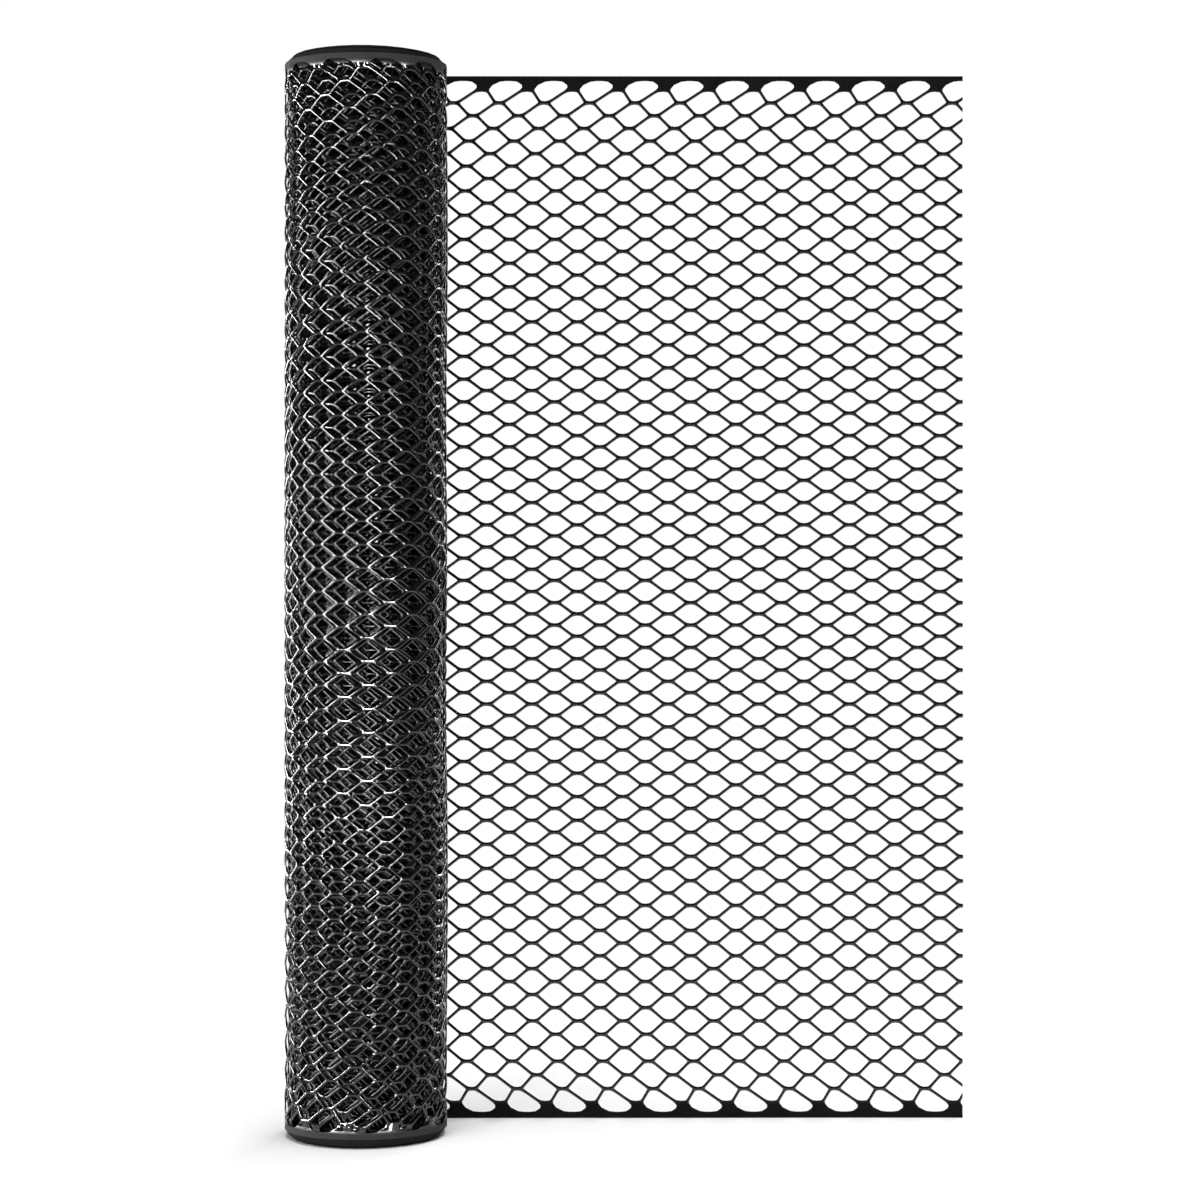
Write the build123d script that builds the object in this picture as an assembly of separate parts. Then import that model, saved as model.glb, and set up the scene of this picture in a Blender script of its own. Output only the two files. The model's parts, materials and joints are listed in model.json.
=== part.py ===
from build123d import *
import math
import os

# A roll of black extruded hexagonal netting, standing on its end, with its free end drawn out flat.
# The roll's axis is +Z and its foot is at the origin. The flat leaf leaves the back of the roll along +X.

# The sheet, which stands on its edge
SHEET_HEIGHT = 914.4
SHEET_THICKNESS = 1.25

# The wound roll
ROLL_RADIUS = 70.0
BORE_RADIUS = 25.0
TURNS = 24
TURN_RELIEF_DEPTH = 3.0

# The hexagonal cells: staggered rows up the sheet, staggered columns along it
CELL_PITCH = 39.8
CELL_ROWS = 86
KNOT_LENGTH = 6.6
KNOT_WIDTH = 2.9
STRAND_WIDTH = 2.3
EDGE_STRETCH_SHARE = 0.07
MIDDLE_RISE = 9.0

# The solid selvedge strips and the slanted cells beside them
TOP_STRIP = 4.2
BOTTOM_STRIP = 5.4
TOP_MARGIN = 12.0
BOTTOM_MARGIN = 13.4
TOP_SKEW = 14.7
BOTTOM_SKEW = 11.0
TOP_SKEW_SHARE = 0.73
BOTTOM_SKEW_SHARE = 0.62
EDGE_CELL_FLAT = 15.5
EDGE_CELL_LEAN = 4.5
EDGE_CELL_SHORTENING = 2.0
EDGE_CELL_REACH_SHARE = 0.1

# The leaf's three lengths, in columns of cells, from the roll to the free end
LEAF_COLUMNS = {"leaf_near_roll": 9, "leaf_middle": 9, "leaf_free_end": 8}

TURN_PITCH = (ROLL_RADIUS - BORE_RADIUS) / TURNS
COLUMN_PITCH = CELL_PITCH / 2
ALL_COLUMNS = sum(LEAF_COLUMNS.values())
TOP_ROW = CELL_ROWS - 1
QUARTER_TURN = 90
HALF_TURN = 180


def level(row):
    """Height of a row of cells. Rows lie closest a little above mid-height, and wider near the selvedges."""
    low = BOTTOM_MARGIN
    high = SHEET_HEIGHT - TOP_MARGIN
    place = 2 * row / TOP_ROW - 1
    eased = (place + EDGE_STRETCH_SHARE * place**3) / (1 + EDGE_STRETCH_SHARE)
    return (low + high) / 2 + eased * (high - low) / 2 + MIDDLE_RISE * (1 - place**2)


def skew(row):
    """How far a row is drawn along the sheet, towards the free end, by the selvedges."""
    from_top = TOP_SKEW * TOP_SKEW_SHARE ** (TOP_ROW - row)
    from_bottom = BOTTOM_SKEW * BOTTOM_SKEW_SHARE**row
    return from_top + from_bottom


def inset(corners, widths):
    """Move each side of a polygon inward by its width. The corners run anticlockwise."""
    sides = []
    for (x0, z0), (x1, z1), width in zip(corners, corners[1:] + corners[:1], widths):
        length = math.hypot(x1 - x0, z1 - z0)
        across = ((z0 - z1) / length, (x1 - x0) / length)
        start = (x0 + across[0] * width, z0 + across[1] * width)
        sides.append((start, (x1 - x0, z1 - z0)))
    moved = []
    for before, after in zip(sides[-1:] + sides[:-1], sides):
        (px, pz), (ux, uz) = before
        (qx, qz), (vx, vz) = after
        along = ((qx - px) * vz - (qz - pz) * vx) / (ux * vz - uz * vx)
        moved.append((px + along * ux, pz + along * uz))
    return moved


def past(start, end):
    """A point a little past a strand's end, where a slanted edge cell runs on into the web beside it."""
    return tuple(b + EDGE_CELL_REACH_SHARE * (b - a) for a, b in zip(start, end))


def cell(column, row):
    """The six corners of one opening, from the middle lines of the knots around it."""
    middle = column * COLUMN_PITCH
    left = middle - COLUMN_PITCH + skew(row) + KNOT_LENGTH / 2
    right = middle + COLUMN_PITCH + skew(row) - KNOT_LENGTH / 2
    below = middle + skew(row - 1)
    above = middle + skew(row + 1)
    low, high = level(row - 1), level(row + 1)
    low_half = high_half = KNOT_LENGTH / 2
    low_width = high_width = KNOT_WIDTH / 2
    low_strand = high_strand = STRAND_WIDTH / 2
    right_corner = (right, level(row))
    flat_middle = middle + skew(row) + EDGE_CELL_LEAN
    if row == 0:
        left += EDGE_CELL_SHORTENING
        right_corner = past((above + high_half, high), right_corner)
        below, low, low_half = flat_middle, BOTTOM_STRIP, EDGE_CELL_FLAT / 2
        low_width = low_strand = 0
    if row == TOP_ROW:
        left += EDGE_CELL_SHORTENING
        right_corner = past((below + low_half, low), right_corner)
        above, high, high_half = flat_middle, SHEET_HEIGHT - TOP_STRIP, EDGE_CELL_FLAT / 2
        high_width = high_strand = 0
    corners = [
        (left, level(row)),
        (below - low_half, low),
        (below + low_half, low),
        right_corner,
        (above + high_half, high),
        (above - high_half, high),
    ]
    widths = [low_strand, low_width, low_strand, high_strand, high_width, high_strand]
    return inset(corners, widths)


def polygon(corners):
    """A closed wire on the leaf's front face."""
    front = ROLL_RADIUS - SHEET_THICKNESS
    return Wire.make_polygon([Vector(x, front, z) for x, z in corners], close=True)


def leaf(first, last):
    """The flat mesh from one column of knots to another, cut through the middle of both."""
    start, end = first * COLUMN_PITCH, last * COLUMN_PITCH
    whole, cut = [], []
    for column in range(first - 2, last + 3):
        for row in range(CELL_ROWS):
            if (column + row + ALL_COLUMNS) % 2:
                continue
            corners = cell(column, row)
            nearest = min(x for x, z in corners)
            farthest = max(x for x, z in corners)
            if nearest > start and farthest < end:
                whole.append(polygon(corners))
            elif nearest < end and farthest > start:
                cut.append(Face(polygon(corners)))
    outline = polygon([(start, 0), (end, 0), (end, SHEET_HEIGHT), (start, SHEET_HEIGHT)])
    comb = Face(outline).cut(*cut).faces()[0]
    return Solid.extrude(Face(comb.outer_wire(), whole), Vector(0, SHEET_THICKNESS, 0))


def winding(depth, half_turns):
    """The winding line at a depth below the sheet's outer face, as half turns about two centres."""
    arcs = []
    for half_turn in range(half_turns):
        side = 1 - 2 * (half_turn % 2)
        centre = (0, side * TURN_PITCH / 4)
        radius = ROLL_RADIUS - depth - TURN_PITCH * (2 * half_turn + 1) / 4
        arcs.append(CenterArc(centre, radius, QUARTER_TURN + HALF_TURN * half_turn, HALF_TURN))
    return arcs


def roll():
    """The wound sheet, with its bore, and the gap between its turns showing on both ends."""
    outer = winding(0, 2)
    step = Line(outer[-1] @ 1, outer[0] @ 0)
    body = extrude(make_face(outer + [step]), SHEET_HEIGHT)
    body -= extrude(make_face(CenterArc((0, 0), BORE_RADIUS, 0, 2 * HALF_TURN)), SHEET_HEIGHT)
    shown = 2 * (TURNS - 2)
    far_wall = winding(SHEET_THICKNESS, shown)
    near_wall = winding(TURN_PITCH, shown)
    mouth = Line(near_wall[0] @ 0, far_wall[0] @ 0)
    tail = Line(far_wall[-1] @ 1, near_wall[-1] @ 1)
    gap = extrude(make_face(far_wall + near_wall + [mouth, tail]), TURN_RELIEF_DEPTH)
    body -= gap
    body -= Pos(0, 0, SHEET_HEIGHT - TURN_RELIEF_DEPTH) * gap
    return body


os.makedirs("parts", exist_ok=True)
export_step(roll(), "parts/roll.step", write_pcurves=False)
column = 0
for name, columns in LEAF_COLUMNS.items():
    export_step(leaf(column, column + columns), f"parts/{name}.step", write_pcurves=False)
    column += columns

wound = math.pi * (ROLL_RADIUS**2 - BORE_RADIUS**2) / TURN_PITCH
drawn_out = ALL_COLUMNS * COLUMN_PITCH
print(f"wound {wound:.0f} mm, drawn out {drawn_out:.0f} mm, turn pitch {TURN_PITCH:.3f} mm")
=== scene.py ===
import json
import math

import bmesh
import bpy
import numpy as np
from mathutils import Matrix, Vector


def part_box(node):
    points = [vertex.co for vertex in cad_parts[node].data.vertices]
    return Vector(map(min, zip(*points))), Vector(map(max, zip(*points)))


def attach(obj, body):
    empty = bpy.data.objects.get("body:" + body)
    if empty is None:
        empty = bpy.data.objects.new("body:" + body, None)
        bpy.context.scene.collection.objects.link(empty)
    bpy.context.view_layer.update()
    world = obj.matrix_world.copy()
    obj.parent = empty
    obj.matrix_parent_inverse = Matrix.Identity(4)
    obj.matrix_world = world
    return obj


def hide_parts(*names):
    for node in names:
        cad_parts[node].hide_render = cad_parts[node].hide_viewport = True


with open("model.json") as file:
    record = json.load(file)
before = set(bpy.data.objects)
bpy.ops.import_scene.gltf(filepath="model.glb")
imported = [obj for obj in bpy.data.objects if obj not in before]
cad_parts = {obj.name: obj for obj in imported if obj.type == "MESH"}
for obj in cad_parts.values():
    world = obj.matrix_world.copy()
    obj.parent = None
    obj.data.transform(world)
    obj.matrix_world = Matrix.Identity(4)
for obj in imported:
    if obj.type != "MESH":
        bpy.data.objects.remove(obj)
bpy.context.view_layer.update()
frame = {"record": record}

# A roll of black hexagonal netting, standing on its end, with its free end drawn out flat.
# Everything is in metres, in the frame of the solids.
# The roll's axis is +Z, and the flat leaf leaves the back of the roll along +X.
# The whole sheet is one net of cells in flat sheet coordinates, which is then wound up.
# Sheet coordinates are the place along the sheet, out of its face and up its height.
# The leaf starts at 0 along the sheet, and the wound part runs back from there.

# The sheet and the roll, from the frame
MILLIMETRES = 1000
ROLL_LOW, ROLL_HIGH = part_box("roll")
LEAF_LOW, LEAF_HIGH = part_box("leaf_free_end")
BORE = next(mount for mount in frame["record"]["mounts"] if mount["name"] == "bore")
SHEET_HEIGHT = ROLL_HIGH.z - ROLL_LOW.z
SHEET_THICKNESS = LEAF_HIGH.y - LEAF_LOW.y
ROLL_RADIUS = ROLL_HIGH.y
BORE_RADIUS = BORE["dims"]["r_mm"] / MILLIMETRES
TURNS = 24
TURN_PITCH = (ROLL_RADIUS - BORE_RADIUS) / TURNS
SHEET_MIDDLE = ROLL_RADIUS - SHEET_THICKNESS / 2

# The hexagonal cells: staggered rows up the sheet, staggered columns along it
LEAF_COLUMNS = {"leaf_near_roll": 9, "leaf_middle": 9, "leaf_free_end": 8}
ALL_COLUMNS = sum(LEAF_COLUMNS.values())
COLUMN_PITCH = LEAF_HIGH.x / ALL_COLUMNS
CELL_ROWS = 86
TOP_ROW = CELL_ROWS - 1
KNOT_LENGTH = 0.0066
KNOT_WIDTH = 0.0032
STRAND_WIDTH = 0.0026
EDGE_STRETCH_SHARE = 0.07
MIDDLE_RISE = 0.0090

# The columns where the roll's pieces end, counted back from the leaf
OUTER_TURN_END = -22
NEXT_TURNS_END = -65
MIDDLE_TURNS_END = -143
DEEP_TURNS_END = -199
HIDDEN_TURNS_END = -343
BORE_TURNS_END = -360

# The solid selvedge strips and the slanted cells beside them
TOP_STRIP = 0.0042
BOTTOM_STRIP = 0.0054
TOP_MARGIN = 0.0120
BOTTOM_MARGIN = 0.0134
TOP_SKEW = 0.0147
BOTTOM_SKEW = 0.0110
TOP_SKEW_SHARE = 0.73
BOTTOM_SKEW_SHARE = 0.62
EDGE_CELL_FLAT = 0.0155
EDGE_CELL_LEAN = 0.0045
WEB_EXTENSION = 0.0020
EDGE_CELL_REACH_SHARE = 0.1

# The net's section: half thicknesses, and how its edges are rounded
KNOT_HALF = 0.00090
STRAND_HALF = 0.00084
STRIP_HALF = 0.00060
SWELL_POWER = 3
SHOULDER_SHARE = 0.40
SHOULDER_REACH = 0.00085
SHOULDER_HEIGHT_SHARE = 0.70
OBTUSE_ROUNDING = 0.00042
POINTED_ROUNDING = 0.00025
EDGE_CELL_ROUNDING = 0.0012
EDGE_FLAT_ROUNDING = 0.0006
EDGE_CELL_BULGE = 0.0007

# Points along a strand from its one knot to its other, for near and far turns, and along knots and strips
FINE_SHARES = (0.18, 0.5, 0.82)
COARSE_SHARES = (0.5,)
KNOT_SHARES = (0.5,)
STRIP_SHARES = (1 / 3, 2 / 3)
HIDDEN_STATIONS = 2

# How near two points are the same, and how near a point is to the sheet's edge or to a cut
MERGE_STEPS = 1e7
EDGE_TOLERANCE = 1e-6
EDGE_DIGITS = 6
CUT_TOLERANCE = 1e-6

# Small unevenness of a wound sheet
RIPPLE = 0.00045
TELESCOPE = 0.0014
TELESCOPE_WAVES = ((0.37, 0.0), (0.11, 1.0))
LEAF_WAVE = 0.0016
SLACK_START = 0.20
SWAY = 0.0040
RISE = 0.0009
EDGE_CALM = 6

# Its waves: a weight, radians for each metre up, radians for each metre along or radian round, and a start
SWAY_WAVES = ((1.0, 9.1, 4.3, 0.0), (0.6, 17.3, -9.7, 1.0))
RISE_WAVES = ((1.0, 6.7, 5.9, 2.0), (0.6, -11.0, 13.1, 0.0))
RIPPLE_WAVES = ((1.0, 9.0, 3.0, 0.0), (1.0, -23.0, 2.0, 0.0))
LEAF_WAVES = ((1.0, 7.0, 5.0, 0.0), (0.5, 17.0, -11.0, 0.0))

# How far the edges of the taut outer turns are drawn in, turn by turn from the outside
NECK = 0.0075
NECK_SHARES = (1.0, 0.66, 0.33, 0.0)
NECK_SIDE_SHARE = 0.75
NECK_POWER = 1.5

# The black plastic
DARK_TONE = (0.003, 0.003, 0.0032, 1)
LIGHT_TONE = (0.009, 0.009, 0.0094, 1)
TONE_SCALE = 55.0
TONE_DETAIL = 4.0
GRAIN_SCALE = 900.0
GRAIN_DETAIL = 3.0
GRAIN_RANGE = (0.3, 0.7)
NET_ROUGHNESS = (0.04, 0.10)
NET_SPECULAR = 0.6
PLASTIC_IOR = 1.51
BUMP_STRENGTH = 0.05
BUMP_DISTANCE = 0.0002

# The dull bands along the sheet's edges
SELVEDGE_ROUGHNESS = 1.0
SELVEDGE_SPECULAR = 0.3
SELVEDGE_FADE = (0.0125, 0.0155)

# The camera, level, at the photograph's viewing angle, placed by the roll's pixels in the photograph
FRAME_PIXELS = 1200
ROLL_PIXELS = 1073.0
ROLL_AXIS_PIXEL = 366.5
ROLL_FOOT_PIXEL = 1133.5
CAMERA_DISTANCE = 2.30
CAMERA_REACH = 50.0
SENSOR_WIDTH = 36.0

# The soft lamps, each with a name, a place, a size and a radiance
LAMP_TARGET = (0.25, 0, 0.3)
SOFT_LAMPS = (
    ("top", (0.25, -0.2, 2.7), (2.2, 2.2), 6.0),
    ("fill", (-1.2, -2.4, 1.6), (1.4, 1.4), 6.0),
    ("back_fill", (1.2, 2.4, 1.6), (1.4, 1.4), 6.0),
)

# The strip lamps, each with a name, an angle round the roll from the front and a radiance
STRIPS = (
    ("back_left", -126, 80),
    ("left", -88, 130),
    ("left_front", -54, 145),
    ("near_left", -24, 125),
    ("near_right", 8, 150),
    ("right_front", 38, 75),
    ("back_right", 130, 24),
)
STRIP_SIZE = (0.13, 1.10)
STRIP_DISTANCE = 2.1
STRIP_MIDDLE = 0.46

# The share of the strips' strength that reaches the roll's pieces, less the deeper they lie
GLEAMS = (
    ("outer_turn", 1.5, ("roll_outer_turn",)),
    ("next_turns", 0.4, ("roll_next_turns",)),
    ("inner_turns", 0.2, ("roll_middle_turns", "roll_deep_turns", "roll_hidden_turns", "roll_bore_turns")),
)

# The background and the floor
WHITE = (1, 1, 1, 1)
WORLD_LIGHT = 0.04
BEHIND_FADE = (0.7, 0.9)
FLOOR_REACH = 8.0
FLOOR_TONE = 0.9
FLOOR_MIDDLE = 0.15
FLOOR_FADE = (0.35, 0.9)


def level(row):
    """Height of a row of cells. Rows lie closest a little above mid-height, and wider near the selvedges."""
    low, high = BOTTOM_MARGIN, SHEET_HEIGHT - TOP_MARGIN
    place = 2 * row / TOP_ROW - 1
    eased = (place + EDGE_STRETCH_SHARE * place**3) / (1 + EDGE_STRETCH_SHARE)
    return (low + high) / 2 + eased * (high - low) / 2 + MIDDLE_RISE * (1 - place**2)


def skew(row):
    """How far a row is drawn along the sheet, towards the free end, by the selvedges."""
    from_top = TOP_SKEW * TOP_SKEW_SHARE ** (TOP_ROW - row)
    return from_top + BOTTOM_SKEW * BOTTOM_SKEW_SHARE**row


def knot(columns, rows, side):
    """A point on the middle line of each knot: its left end (-1), middle (0) or right end (1)."""
    along = columns * COLUMN_PITCH + skew(rows) + side * KNOT_LENGTH / 2
    on_edge = (rows == 0) | (rows == TOP_ROW)
    along = along + np.where(on_edge, WEB_EXTENSION * (1 + side) / 2, 0)
    return np.stack([along, level(rows)], axis=-1)


def points_round(corners, shares):
    """Points round each polygon: every corner, followed by the points at that side's shares."""
    following = np.roll(corners, -1, axis=1)
    points = []
    for side, side_shares in enumerate(shares):
        points.append(corners[:, side])
        for share in side_shares:
            points.append(corners[:, side] * (1 - share) + following[:, side] * share)
    return np.stack(points, axis=1)


def inset(corners, widths):
    """Each side of the anticlockwise polygons moved inward by its width."""
    run = np.roll(corners, -1, axis=1) - corners
    length = np.linalg.norm(run, axis=2, keepdims=True)
    across = np.stack([-run[..., 1], run[..., 0]], axis=-1) / length
    start = corners + across * np.array(widths)[None, :, None]
    before, before_run = np.roll(start, 1, axis=1), np.roll(run, 1, axis=1)
    gap = start - before
    turn = before_run[..., 0] * run[..., 1] - before_run[..., 1] * run[..., 0]
    share = (gap[..., 0] * run[..., 1] - gap[..., 1] * run[..., 0]) / turn
    return before + share[..., None] * before_run


def rounded(corners, amounts):
    """Each corner moved into the polygon by its amount."""
    to_before = np.roll(corners, 1, axis=1) - corners
    to_after = np.roll(corners, -1, axis=1) - corners
    inward = to_before / np.linalg.norm(to_before, axis=2, keepdims=True)
    inward = inward + to_after / np.linalg.norm(to_after, axis=2, keepdims=True)
    inward = inward / np.linalg.norm(inward, axis=2, keepdims=True)
    return corners + inward * np.array(amounts)[None, :, None]


def hole_ring(corners, widths, amounts, shares):
    """The edge of each opening, with its corners rounded."""
    sharp = inset(corners, widths)
    ring = points_round(sharp, shares)
    starts = np.cumsum([0] + [1 + len(side_shares) for side_shares in shares[:-1]])
    ring[:, starts] = rounded(sharp, amounts)
    return ring


def strand_heights(shares):
    """Half thickness along a strand, from the knot at its start: thin in the middle, thick at its knots."""
    swell = KNOT_HALF - STRAND_HALF
    return [STRAND_HALF + swell * abs(2 * share - 1) ** SWELL_POWER for share in shares]


def middle_cells(columns, rows, strand):
    """Openings with knots above and below: (middle line points, opening's edge, half thickness)."""
    corners = np.stack([
        knot(columns - 1, rows, 1),
        knot(columns, rows - 1, -1),
        knot(columns, rows - 1, 1),
        knot(columns + 1, rows, -1),
        knot(columns, rows + 1, 1),
        knot(columns, rows + 1, -1),
    ], axis=1)
    shares = [strand, KNOT_SHARES, strand, strand, KNOT_SHARES, strand]
    thin, thick = STRAND_WIDTH / 2, KNOT_WIDTH / 2
    pointed, obtuse = POINTED_ROUNDING, OBTUSE_ROUNDING
    ring = hole_ring(
        corners,
        [thin, thick, thin, thin, thick, thin],
        [pointed, obtuse, obtuse, pointed, obtuse, obtuse],
        shares,
    )
    on_strand = [KNOT_HALF] + strand_heights(strand)
    on_knot = [KNOT_HALF] * (1 + len(KNOT_SHARES))
    heights = on_strand + on_knot + on_strand + on_strand + on_knot + on_strand
    return points_round(corners, shares), ring, heights


def bulged(start, end, centre):
    """The middle of each opening's end, pushed a little away from the opening's centre."""
    middle = (start + end) / 2
    away = middle - centre
    return middle + EDGE_CELL_BULGE * away / np.linalg.norm(away, axis=1, keepdims=True)


def edge_cells(columns, row, strand):
    """The slanted openings beside one selvedge, with their share of its solid strip and webs."""
    rows = np.full(len(columns), row)
    side = 1 if row == TOP_ROW else -1
    strip_height = SHEET_HEIGHT - TOP_STRIP if row == TOP_ROW else BOTTOM_STRIP
    edge_height = SHEET_HEIGHT if row == TOP_ROW else 0.0
    left, right = knot(columns - 1, rows, 1), knot(columns + 1, rows, -1)
    left_middle, right_middle = knot(columns - 1, rows, 0), knot(columns + 1, rows, 0)
    knot_left, knot_right = knot(columns, rows - side, -1), knot(columns, rows - side, 1)
    left_foot, right_foot = left_middle.copy(), right_middle.copy()
    left_foot[:, 1] = right_foot[:, 1] = edge_height
    flat_middle = columns * COLUMN_PITCH + skew(rows) + EDGE_CELL_LEAN
    flat_heights = np.full(len(columns), strip_height)
    flat_left = np.stack([flat_middle - EDGE_CELL_FLAT / 2, flat_heights], axis=-1)
    flat_right = np.stack([flat_middle + EDGE_CELL_FLAT / 2, flat_heights], axis=-1)
    far_end = right + EDGE_CELL_REACH_SHARE * (right - knot_right)
    around = [left, far_end, flat_left, flat_right, knot_left, knot_right]
    centre = sum(around) / len(around)
    near_web, far_web = bulged(left, flat_left, centre), bulged(flat_right, far_end, centre)
    thin, thick = STRAND_WIDTH / 2, KNOT_WIDTH / 2
    end, flat, obtuse = EDGE_CELL_ROUNDING, EDGE_FLAT_ROUNDING, OBTUSE_ROUNDING
    on_strand = [KNOT_HALF] + strand_heights(strand)
    on_knot = [KNOT_HALF] * (1 + len(KNOT_SHARES))
    on_foot = [STRIP_HALF] * (2 + len(STRIP_SHARES))
    if side < 0:
        outer = [left, left_middle, left_foot, right_foot, right_middle, right, knot_right, knot_left]
        hole = [left, near_web, flat_left, flat_right, far_web, far_end, knot_right, knot_left]
        shares = [(), (), STRIP_SHARES, (), (), strand, KNOT_SHARES, strand]
        widths = [0, 0, 0, 0, 0, thin, thick, thin]
        roundings = [end, 0, flat, flat, 0, end, obtuse, obtuse]
        heights = [KNOT_HALF] * 2 + on_foot + [KNOT_HALF] + on_strand + on_knot + on_strand
    else:
        outer = [left, knot_left, knot_right, right, right_middle, right_foot, left_foot, left_middle]
        hole = [left, knot_left, knot_right, far_end, far_web, flat_right, flat_left, near_web]
        shares = [strand, KNOT_SHARES, strand, (), (), STRIP_SHARES, (), ()]
        widths = [thin, thick, thin, 0, 0, 0, 0, 0]
        roundings = [end, obtuse, obtuse, end, 0, flat, flat, 0]
        heights = on_strand + on_knot + on_strand + [KNOT_HALF] * 2 + on_foot + [KNOT_HALF]
    ring = hole_ring(np.stack(hole, axis=1), widths, roundings, shares)
    return points_round(np.stack(outer, axis=1), shares), ring, heights


def layers(cells, shoulders):
    """Each opening's rings of points, from the front of the net, round its edge, to the back."""
    outer, ring, heights = cells
    half = np.broadcast_to(np.array(heights), outer.shape[:2])
    reach = np.linalg.norm(outer - ring, axis=2)
    share = np.minimum(SHOULDER_SHARE, SHOULDER_REACH / reach)[..., None]
    shoulder = ring + (outer - ring) * share
    rings = [(outer, half), (ring, 0 * half), (outer, -half)]
    if shoulders:
        low = SHOULDER_HEIGHT_SHARE * half
        rings = [(outer, half), (shoulder, low), (ring, 0 * half), (shoulder, -low), (outer, -half)]
    return np.stack([np.stack([p[..., 0], n, p[..., 1]], axis=-1) for p, n in rings], axis=1)


def ring_faces(points, first_index):
    """Quads between neighbouring rings of every opening."""
    cells, depth, count = points.shape[:3]
    index = first_index + np.arange(cells * depth * count).reshape(cells, depth, count)
    after = np.roll(index, -1, axis=2)
    quads = np.stack([index[:, :-1], after[:, :-1], after[:, 1:], index[:, 1:]], axis=-1)
    return quads.reshape(-1, 4), index


def edge_wall(group, index, edge_height):
    """Quads across the sheet's own edge, where an opening's outer points lie on it."""
    front, back = index[:, 0], index[:, -1]
    on_edge = np.abs(group[:, 0, :, 2] - edge_height) < EDGE_TOLERANCE
    both = on_edge & np.roll(on_edge, -1, axis=1)
    quads = np.stack([front, back, np.roll(back, -1, axis=1), np.roll(front, -1, axis=1)], axis=-1)
    return quads[both]


def net(first, last, strand, shoulders):
    """The flat net over a run of columns: (points in sheet coordinates, quads)."""
    run = np.arange(first - 2, last + 3)
    columns, rows = np.meshgrid(run, np.arange(1, TOP_ROW), indexing="ij")
    there = (columns + rows + ALL_COLUMNS) % 2 == 0
    low_columns = run[(run + ALL_COLUMNS) % 2 == 0]
    high_columns = run[(run + TOP_ROW + ALL_COLUMNS) % 2 == 0]
    groups = [
        layers(middle_cells(columns[there], rows[there], strand), shoulders),
        layers(edge_cells(low_columns, 0, strand), shoulders),
        layers(edge_cells(high_columns, TOP_ROW, strand), shoulders),
    ]
    points, quads, count = [], [], 0
    for group in groups:
        faces, index = ring_faces(group, count)
        points.append(group.reshape(-1, 3))
        quads.append(faces)
        count += group.shape[0] * group.shape[1] * group.shape[2]
        for edge_height in (0.0, SHEET_HEIGHT):
            quads.append(edge_wall(group, index, edge_height))
    points, quads = np.concatenate(points), np.concatenate(quads)
    keys = np.round(points * MERGE_STEPS).astype(np.int64)
    _, kept, merged = np.unique(keys, axis=0, return_index=True, return_inverse=True)
    return points[kept], merged.reshape(-1)[quads]


def waves(terms, height, along):
    """The sum of some waves up the sheet and along it, or round the roll."""
    return sum(weight * np.sin(up * height + on * along + start) for weight, up, on, start in terms)


def slackened(points):
    """The wound part of the sheet drawn a little askew, so that no two turns lie quite alike."""
    along, outward, height = points.T
    back = np.maximum(-along, 0)
    share = np.clip(back / SLACK_START, 0, 1)
    off_edge = np.clip(4 * height * (SHEET_HEIGHT - height) / SHEET_HEIGHT**2 * EDGE_CALM, 0, 1)
    along = along + share * SWAY * waves(SWAY_WAVES, height, back)
    raised = height + share * off_edge * RISE * waves(RISE_WAVES, height, back)
    return np.stack([along, outward, raised], axis=-1)


def drawn_in(height, angle):
    """How far the outer turns' taut edges are drawn in, most at the front and not at the back."""
    turn = np.clip(((angle - math.pi / 2) // (2 * math.pi)).astype(int), 0, len(NECK_SHARES) - 1)
    front = np.clip(-np.sin(angle), 0, 1) ** NECK_POWER
    off_back = np.clip(1 - np.sin(angle), 0, 1)
    off_back = off_back**2 * (3 - 2 * off_back)
    taut = NECK_SIDE_SHARE * off_back + (1 - NECK_SIDE_SHARE) * front
    return NECK * np.array(NECK_SHARES)[turn] * taut * (2 * height / SHEET_HEIGHT - 1)


def wound(points):
    """Sheet coordinates placed on the flat leaf, or on the winding of half turns about two centres."""
    along, outward, height = slackened(points).T
    half_turns = 2 * TURNS
    radii = SHEET_MIDDLE - TURN_PITCH * (2 * np.arange(half_turns) + 1) / 4
    ends = np.cumsum(math.pi * radii)
    back = np.maximum(-along, 0)
    turn = np.minimum(np.searchsorted(ends, back), half_turns - 1)
    begun = np.concatenate([[0], ends])[turn]
    angle = math.pi / 2 + math.pi * turn + (back - begun) / radii[turn]
    centre = TURN_PITCH / 4 * (1 - 2 * (turn % 2))
    settled = np.clip(back / (2 * math.pi * ROLL_RADIUS), 0, 1)
    radius = radii[turn] + outward + RIPPLE * settled * waves(RIPPLE_WAVES, height, angle)
    (quick, quick_start), (slow, slow_start) = TELESCOPE_WAVES
    lift = TELESCOPE * settled * (0.5 + 0.5 * np.sin(quick * angle + quick_start))
    lift = lift * np.sin(slow * angle + slow_start) ** 2
    swell = np.clip(along / LEAF_HIGH.x, 0, 1) ** 2
    leaf_place = SHEET_MIDDLE + outward + LEAF_WAVE * swell * waves(LEAF_WAVES, height, along)
    flat = along >= 0
    x = np.where(flat, along, radius * np.cos(angle))
    y = np.where(flat, leaf_place, centre + radius * np.sin(angle))
    z = np.where(flat, height, height + lift - drawn_in(height, angle))
    return np.stack([x, y, z], axis=-1)


def shape_of(points, quads):
    """An editable mesh of some quads."""
    rough = bpy.data.meshes.new("rough")
    rough.from_pydata(points, [], quads)
    shape = bmesh.new()
    shape.from_mesh(rough)
    bpy.data.meshes.remove(rough)
    return shape


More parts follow.
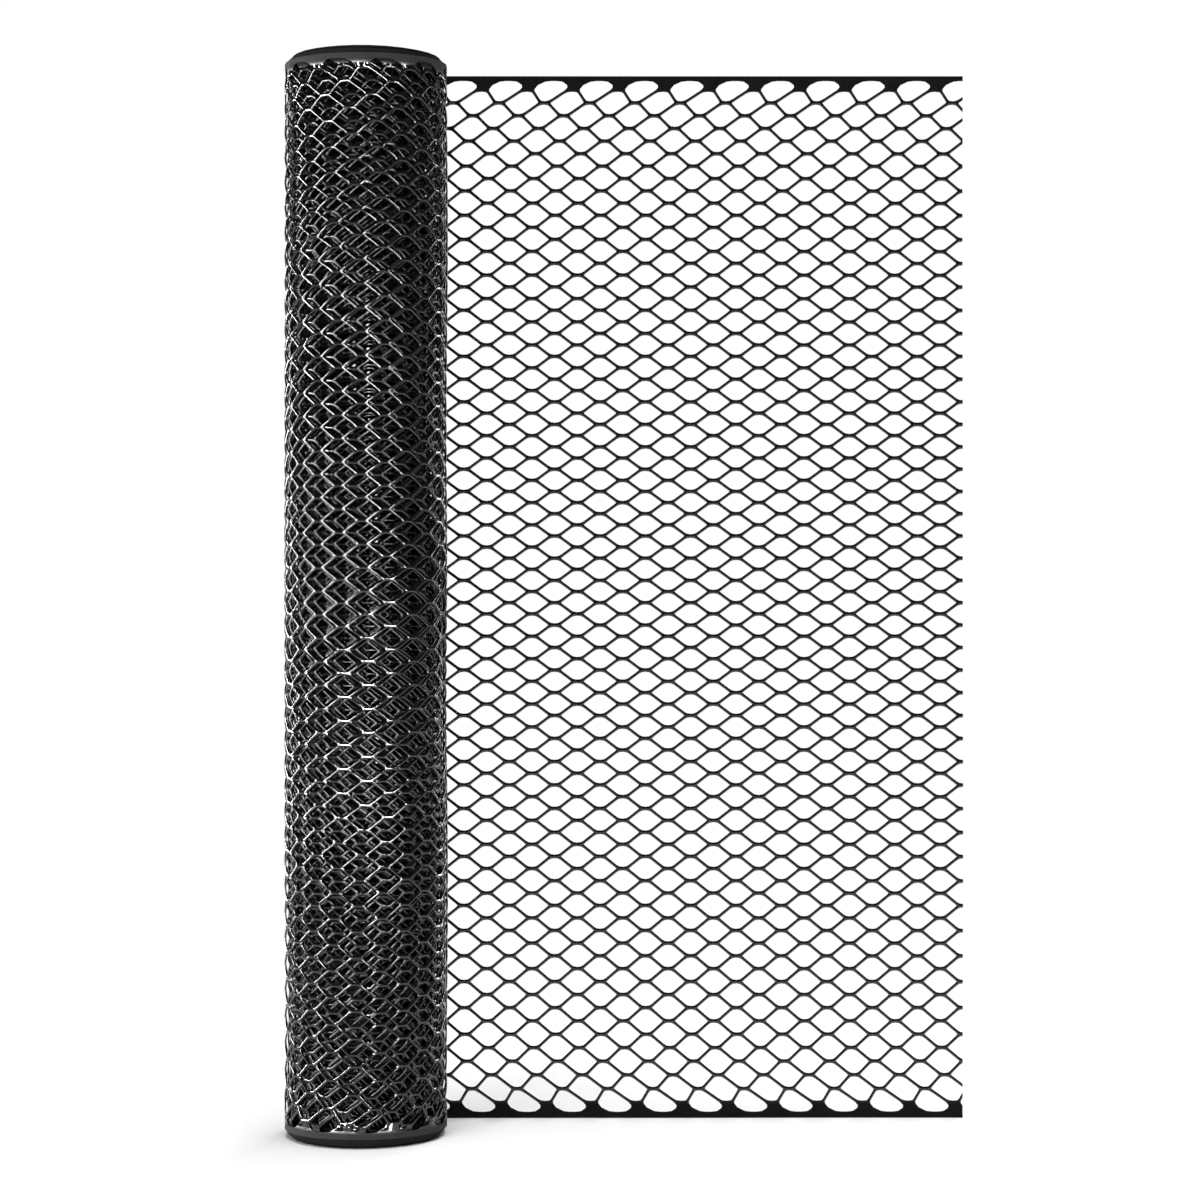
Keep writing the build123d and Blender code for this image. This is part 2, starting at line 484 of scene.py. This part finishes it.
def cut_sheet(shape, start, end):
    """Two straight cuts across the net, with cut strands closed and the sheet's own edges sharp."""
    for place, way in ((start, -1), (end, 1)):
        found = bmesh.ops.bisect_plane(
            shape,
            geom=shape.verts[:] + shape.edges[:] + shape.faces[:],
            dist=CUT_TOLERANCE,
            plane_co=(place, 0, 0),
            plane_no=(way, 0, 0),
            clear_outer=True,
        )
        edges = [cut for cut in found["geom_cut"] if isinstance(cut, bmesh.types.BMEdge)]
        bmesh.ops.edgeloop_fill(shape, edges=edges)
    bmesh.ops.recalc_face_normals(shape, faces=shape.faces[:])
    sheet_edges = ({0.0}, {round(SHEET_HEIGHT, EDGE_DIGITS)})
    for edge in shape.edges:
        heights = {round(vert.co.z, EDGE_DIGITS) for vert in edge.verts}
        edge.smooth = heights not in sheet_edges


def add_piece(name, shape, material, node, smooth):
    """A finished mesh, wound into place, that stands for one CAD node."""
    mesh = bpy.data.meshes.new(name)
    shape.to_mesh(mesh)
    shape.free()
    flat = np.empty(len(mesh.vertices) * 3)
    mesh.vertices.foreach_get("co", flat)
    mesh.vertices.foreach_set("co", wound(flat.reshape(-1, 3)).ravel())
    mesh.polygons.foreach_set("use_smooth", np.full(len(mesh.polygons), smooth))
    mesh.update()
    piece = bpy.data.objects.new(name, mesh)
    bpy.context.scene.collection.objects.link(piece)
    piece.data.materials.append(material)
    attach(piece, "root")
    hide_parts(node)


def add_net(name, first, last, strand, shoulders, material, node):
    """The net between two columns, as one piece."""
    shape = shape_of(*net(first, last, strand, shoulders))
    cut_sheet(shape, first * COLUMN_PITCH, last * COLUMN_PITCH)
    add_piece(name, shape, material, node, True)


def add_hidden_turns(name, first, last, material):
    """The turns that no view reaches, as a plain sheet with the selvedges' edges."""
    along = np.linspace(first, last, HIDDEN_STATIONS * (last - first) + 1) * COLUMN_PITCH
    section = [(STRIP_HALF, 0), (STRIP_HALF, SHEET_HEIGHT), (-STRIP_HALF, SHEET_HEIGHT), (-STRIP_HALF, 0)]
    points = np.array([(s, n, z) for s in along for n, z in section])
    sides = len(section)
    quads = []
    for station in range(len(along) - 1):
        here, there = sides * station, sides * (station + 1)
        for corner in range(sides):
            following = (corner + 1) % sides
            quads.append((here + corner, here + following, there + following, there + corner))
    quads += [tuple(range(sides)), tuple(range(len(points) - sides, len(points)))]
    shape = shape_of(points, quads)
    bmesh.ops.recalc_face_normals(shape, faces=shape.faces[:])
    add_piece(name, shape, material, "roll", False)


def node_of(tree, kind, **values):
    """A shader node with some of its inputs set."""
    made = tree.nodes.new(kind)
    for name, value in values.items():
        made.inputs[name].default_value = value
    return made


def computed(tree, operation, first, second=None):
    """The output of a Math node on one or two values, each an output or a number."""
    made = tree.nodes.new("ShaderNodeMath")
    made.operation = operation
    for socket, value in zip(made.inputs, (first, second)):
        if isinstance(value, bpy.types.NodeSocket):
            tree.links.new(value, socket)
        elif value is not None:
            socket.default_value = value
    return made.outputs[0]


def ranged(tree, value, low, high):
    """A Map Range node from low and high to 0 and 1, fed by an output."""
    made = tree.nodes.new("ShaderNodeMapRange")
    made.inputs["From Min"].default_value = low
    made.inputs["From Max"].default_value = high
    tree.links.new(value, made.inputs["Value"])
    return made


def part_of(tree, vector, axis):
    """One coordinate of a vector output."""
    split = tree.nodes.new("ShaderNodeSeparateXYZ")
    tree.links.new(vector, split.inputs[0])
    return split.outputs[axis]


def on_selvedge(tree, place):
    """1 on the solid bands along the sheet's two edges, 0 on the net between them."""
    half = SHEET_HEIGHT / 2
    from_middle = computed(tree, "SUBTRACT", part_of(tree, place, "Z"), half)
    either_way = computed(tree, "ABSOLUTE", from_middle)
    return ranged(tree, either_way, half - SELVEDGE_FADE[1], half - SELVEDGE_FADE[0]).outputs["Result"]


def black_plastic():
    """Black polyethylene, a little uneven in tone and gloss, glossy on the net and dull on its selvedges."""
    material = bpy.data.materials.new("black_polyethylene")
    material.use_nodes = True
    tree = material.node_tree
    link = tree.links.new
    shader = tree.nodes["Principled BSDF"]
    place = tree.nodes.new("ShaderNodeTexCoord").outputs["Object"]
    cloud = node_of(tree, "ShaderNodeTexNoise", Scale=TONE_SCALE, Detail=TONE_DETAIL)
    grain = node_of(tree, "ShaderNodeTexNoise", Scale=GRAIN_SCALE, Detail=GRAIN_DETAIL)
    link(place, cloud.inputs["Vector"])
    link(place, grain.inputs["Vector"])
    tone = tree.nodes.new("ShaderNodeValToRGB")
    tone.color_ramp.elements[0].color = DARK_TONE
    tone.color_ramp.elements[1].color = LIGHT_TONE
    link(cloud.outputs["Fac"], tone.inputs["Fac"])
    link(tone.outputs["Color"], shader.inputs["Base Color"])
    gloss = ranged(tree, grain.outputs["Fac"], *GRAIN_RANGE)
    gloss.inputs["To Min"].default_value = NET_ROUGHNESS[0]
    gloss.inputs["To Max"].default_value = NET_ROUGHNESS[1]
    band = on_selvedge(tree, place)
    dull = node_of(tree, "ShaderNodeMix", B=SELVEDGE_ROUGHNESS)
    link(band, dull.inputs["Factor"])
    link(gloss.outputs["Result"], dull.inputs["A"])
    link(dull.outputs["Result"], shader.inputs["Roughness"])
    shine = node_of(tree, "ShaderNodeMix", A=NET_SPECULAR, B=SELVEDGE_SPECULAR)
    link(band, shine.inputs["Factor"])
    link(shine.outputs["Result"], shader.inputs["Specular IOR Level"])
    shader.inputs["Specular IOR Level"].default_value = NET_SPECULAR
    shader.inputs["IOR"].default_value = PLASTIC_IOR
    bump = node_of(tree, "ShaderNodeBump", Strength=BUMP_STRENGTH, Distance=BUMP_DISTANCE)
    link(grain.outputs["Fac"], bump.inputs["Height"])
    link(bump.outputs["Normal"], shader.inputs["Normal"])
    return material


def add_camera():
    """A level camera that puts the roll where the photograph has it."""
    scale = ROLL_PIXELS / SHEET_HEIGHT
    data = bpy.data.cameras.new("camera")
    data.sensor_width = SENSOR_WIDTH
    data.lens = SENSOR_WIDTH * scale * CAMERA_DISTANCE / FRAME_PIXELS
    data.clip_end = CAMERA_REACH
    camera = bpy.data.objects.new("camera", data)
    across = (FRAME_PIXELS / 2 - ROLL_AXIS_PIXEL) / scale
    up = (ROLL_FOOT_PIXEL - FRAME_PIXELS / 2) / scale
    camera.location = (across, -CAMERA_DISTANCE, up)
    camera.rotation_euler = (math.radians(90), 0, 0)
    bpy.context.scene.collection.objects.link(camera)
    bpy.context.scene.camera = camera


def add_light(name, place, target, size, radiance):
    """A rectangular studio lamp."""
    data = bpy.data.lights.new(name, "AREA")
    data.shape = "RECTANGLE"
    data.size, data.size_y = size
    data.energy = radiance * math.pi * size[0] * size[1]
    lamp = bpy.data.objects.new(name, data)
    lamp.location = place
    aim = Vector(target) - Vector(place)
    lamp.rotation_euler = aim.to_track_quat("-Z", "Y").to_euler()
    bpy.context.scene.collection.objects.link(lamp)
    return lamp


def add_soft_lamps():
    """The plain level of light, which no strand mirrors."""
    for name, place, size, radiance in SOFT_LAMPS:
        lamp = add_light(name, place, LAMP_TARGET, size, radiance)
        lamp.visible_glossy = False


def add_strips(group, share, pieces):
    """Strips that only gleam on some of the roll's pieces, at a share of their strength."""
    turns = bpy.data.collections.new(group)
    for piece in pieces:
        turns.objects.link(bpy.data.objects[piece])
    for name, azimuth, radiance in STRIPS:
        turn = math.radians(azimuth)
        place = (STRIP_DISTANCE * math.sin(turn), -STRIP_DISTANCE * math.cos(turn), STRIP_MIDDLE)
        lamp = add_light(name, place, (0, 0, STRIP_MIDDLE), STRIP_SIZE, share * radiance)
        lamp.visible_diffuse = False
        lamp.light_linking.receiver_collection = turns


def mirror_rays(tree, path):
    """1 for mirror rays and see-through rays."""
    return computed(tree, "MAXIMUM", path.outputs["Is Glossy Ray"], path.outputs["Is Transmission Ray"])


def background_rays(tree):
    """1 where the white background shows: to the camera all round, to mirror rays behind the object."""
    path = tree.nodes.new("ShaderNodeLightPath")
    place = tree.nodes.new("ShaderNodeTexCoord").outputs["Generated"]
    behind = ranged(tree, part_of(tree, place, "Y"), *BEHIND_FADE)
    behind.interpolation_type = "SMOOTHSTEP"
    mirrored = computed(tree, "MULTIPLY", mirror_rays(tree, path), behind.outputs["Result"])
    return computed(tree, "MAXIMUM", path.outputs["Is Camera Ray"], mirrored)


def add_world():
    """A faint even light, and the white background."""
    world = bpy.data.worlds.new("studio")
    bpy.context.scene.world = world
    world.use_nodes = True
    tree = world.node_tree
    soft = tree.nodes["Background"]
    soft.inputs["Color"].default_value = WHITE
    soft.inputs["Strength"].default_value = WORLD_LIGHT
    white = node_of(tree, "ShaderNodeBackground", Color=WHITE)
    mix = tree.nodes.new("ShaderNodeMixShader")
    tree.links.new(background_rays(tree), mix.inputs["Fac"])
    tree.links.new(soft.outputs[0], mix.inputs[1])
    tree.links.new(white.outputs[0], mix.inputs[2])
    tree.links.new(mix.outputs[0], tree.nodes["World Output"].inputs["Surface"])


def pale_floor():
    """A pale material that keeps the shadow near the object and goes over into the white background."""
    material = bpy.data.materials.new("pale_floor")
    material.use_nodes = True
    tree = material.node_tree
    link = tree.links.new
    shader = tree.nodes["Principled BSDF"]
    shader.inputs["Base Color"].default_value = (FLOOR_TONE, FLOOR_TONE, FLOOR_TONE, 1)
    shader.inputs["Roughness"].default_value = 1.0
    shader.inputs["Specular IOR Level"].default_value = 0.0
    place = tree.nodes.new("ShaderNodeTexCoord")
    from_middle = tree.nodes.new("ShaderNodeVectorMath")
    from_middle.operation = "DISTANCE"
    from_middle.inputs[1].default_value = (FLOOR_MIDDLE, 0, 0)
    link(place.outputs["Object"], from_middle.inputs[0])
    fade = ranged(tree, from_middle.outputs["Value"], *FLOOR_FADE)
    fade.interpolation_type = "SMOOTHSTEP"
    path = tree.nodes.new("ShaderNodeLightPath")
    seen = computed(tree, "MAXIMUM", path.outputs["Is Camera Ray"], mirror_rays(tree, path))
    shown = computed(tree, "MULTIPLY", fade.outputs["Result"], seen)
    white = tree.nodes.new("ShaderNodeEmission")
    mix = tree.nodes.new("ShaderNodeMixShader")
    link(shown, mix.inputs["Fac"])
    link(shader.outputs[0], mix.inputs[1])
    link(white.outputs[0], mix.inputs[2])
    link(mix.outputs[0], tree.nodes["Material Output"].inputs["Surface"])
    return material


def add_floor():
    """The floor that the roll stands on."""
    half = FLOOR_REACH
    corners = [(-half, -half, 0), (half, -half, 0), (half, half, 0), (-half, half, 0)]
    mesh = bpy.data.meshes.new("floor")
    mesh.from_pydata(corners, [], [(0, 1, 2, 3)])
    floor = bpy.data.objects.new("floor", mesh)
    bpy.context.scene.collection.objects.link(floor)
    floor.data.materials.append(pale_floor())


plastic = black_plastic()
column = 0
for leaf_name, leaf_columns in LEAF_COLUMNS.items():
    add_net(f"{leaf_name}_net", column, column + leaf_columns, FINE_SHARES, True, plastic, leaf_name)
    column += leaf_columns
add_net("roll_outer_turn", OUTER_TURN_END, 0, FINE_SHARES, True, plastic, "roll")
add_net("roll_next_turns", NEXT_TURNS_END, OUTER_TURN_END, COARSE_SHARES, True, plastic, "roll")
add_net("roll_middle_turns", MIDDLE_TURNS_END, NEXT_TURNS_END, COARSE_SHARES, False, plastic, "roll")
add_net("roll_deep_turns", DEEP_TURNS_END, MIDDLE_TURNS_END, COARSE_SHARES, False, plastic, "roll")
add_hidden_turns("roll_hidden_turns", HIDDEN_TURNS_END, DEEP_TURNS_END, plastic)
add_net("roll_bore_turns", BORE_TURNS_END, HIDDEN_TURNS_END, COARSE_SHARES, False, plastic, "roll")

add_camera()
add_world()
add_floor()
add_soft_lamps()
for gleam in GLEAMS:
    add_strips(*gleam)
bpy.context.scene.view_settings.view_transform = "Standard"
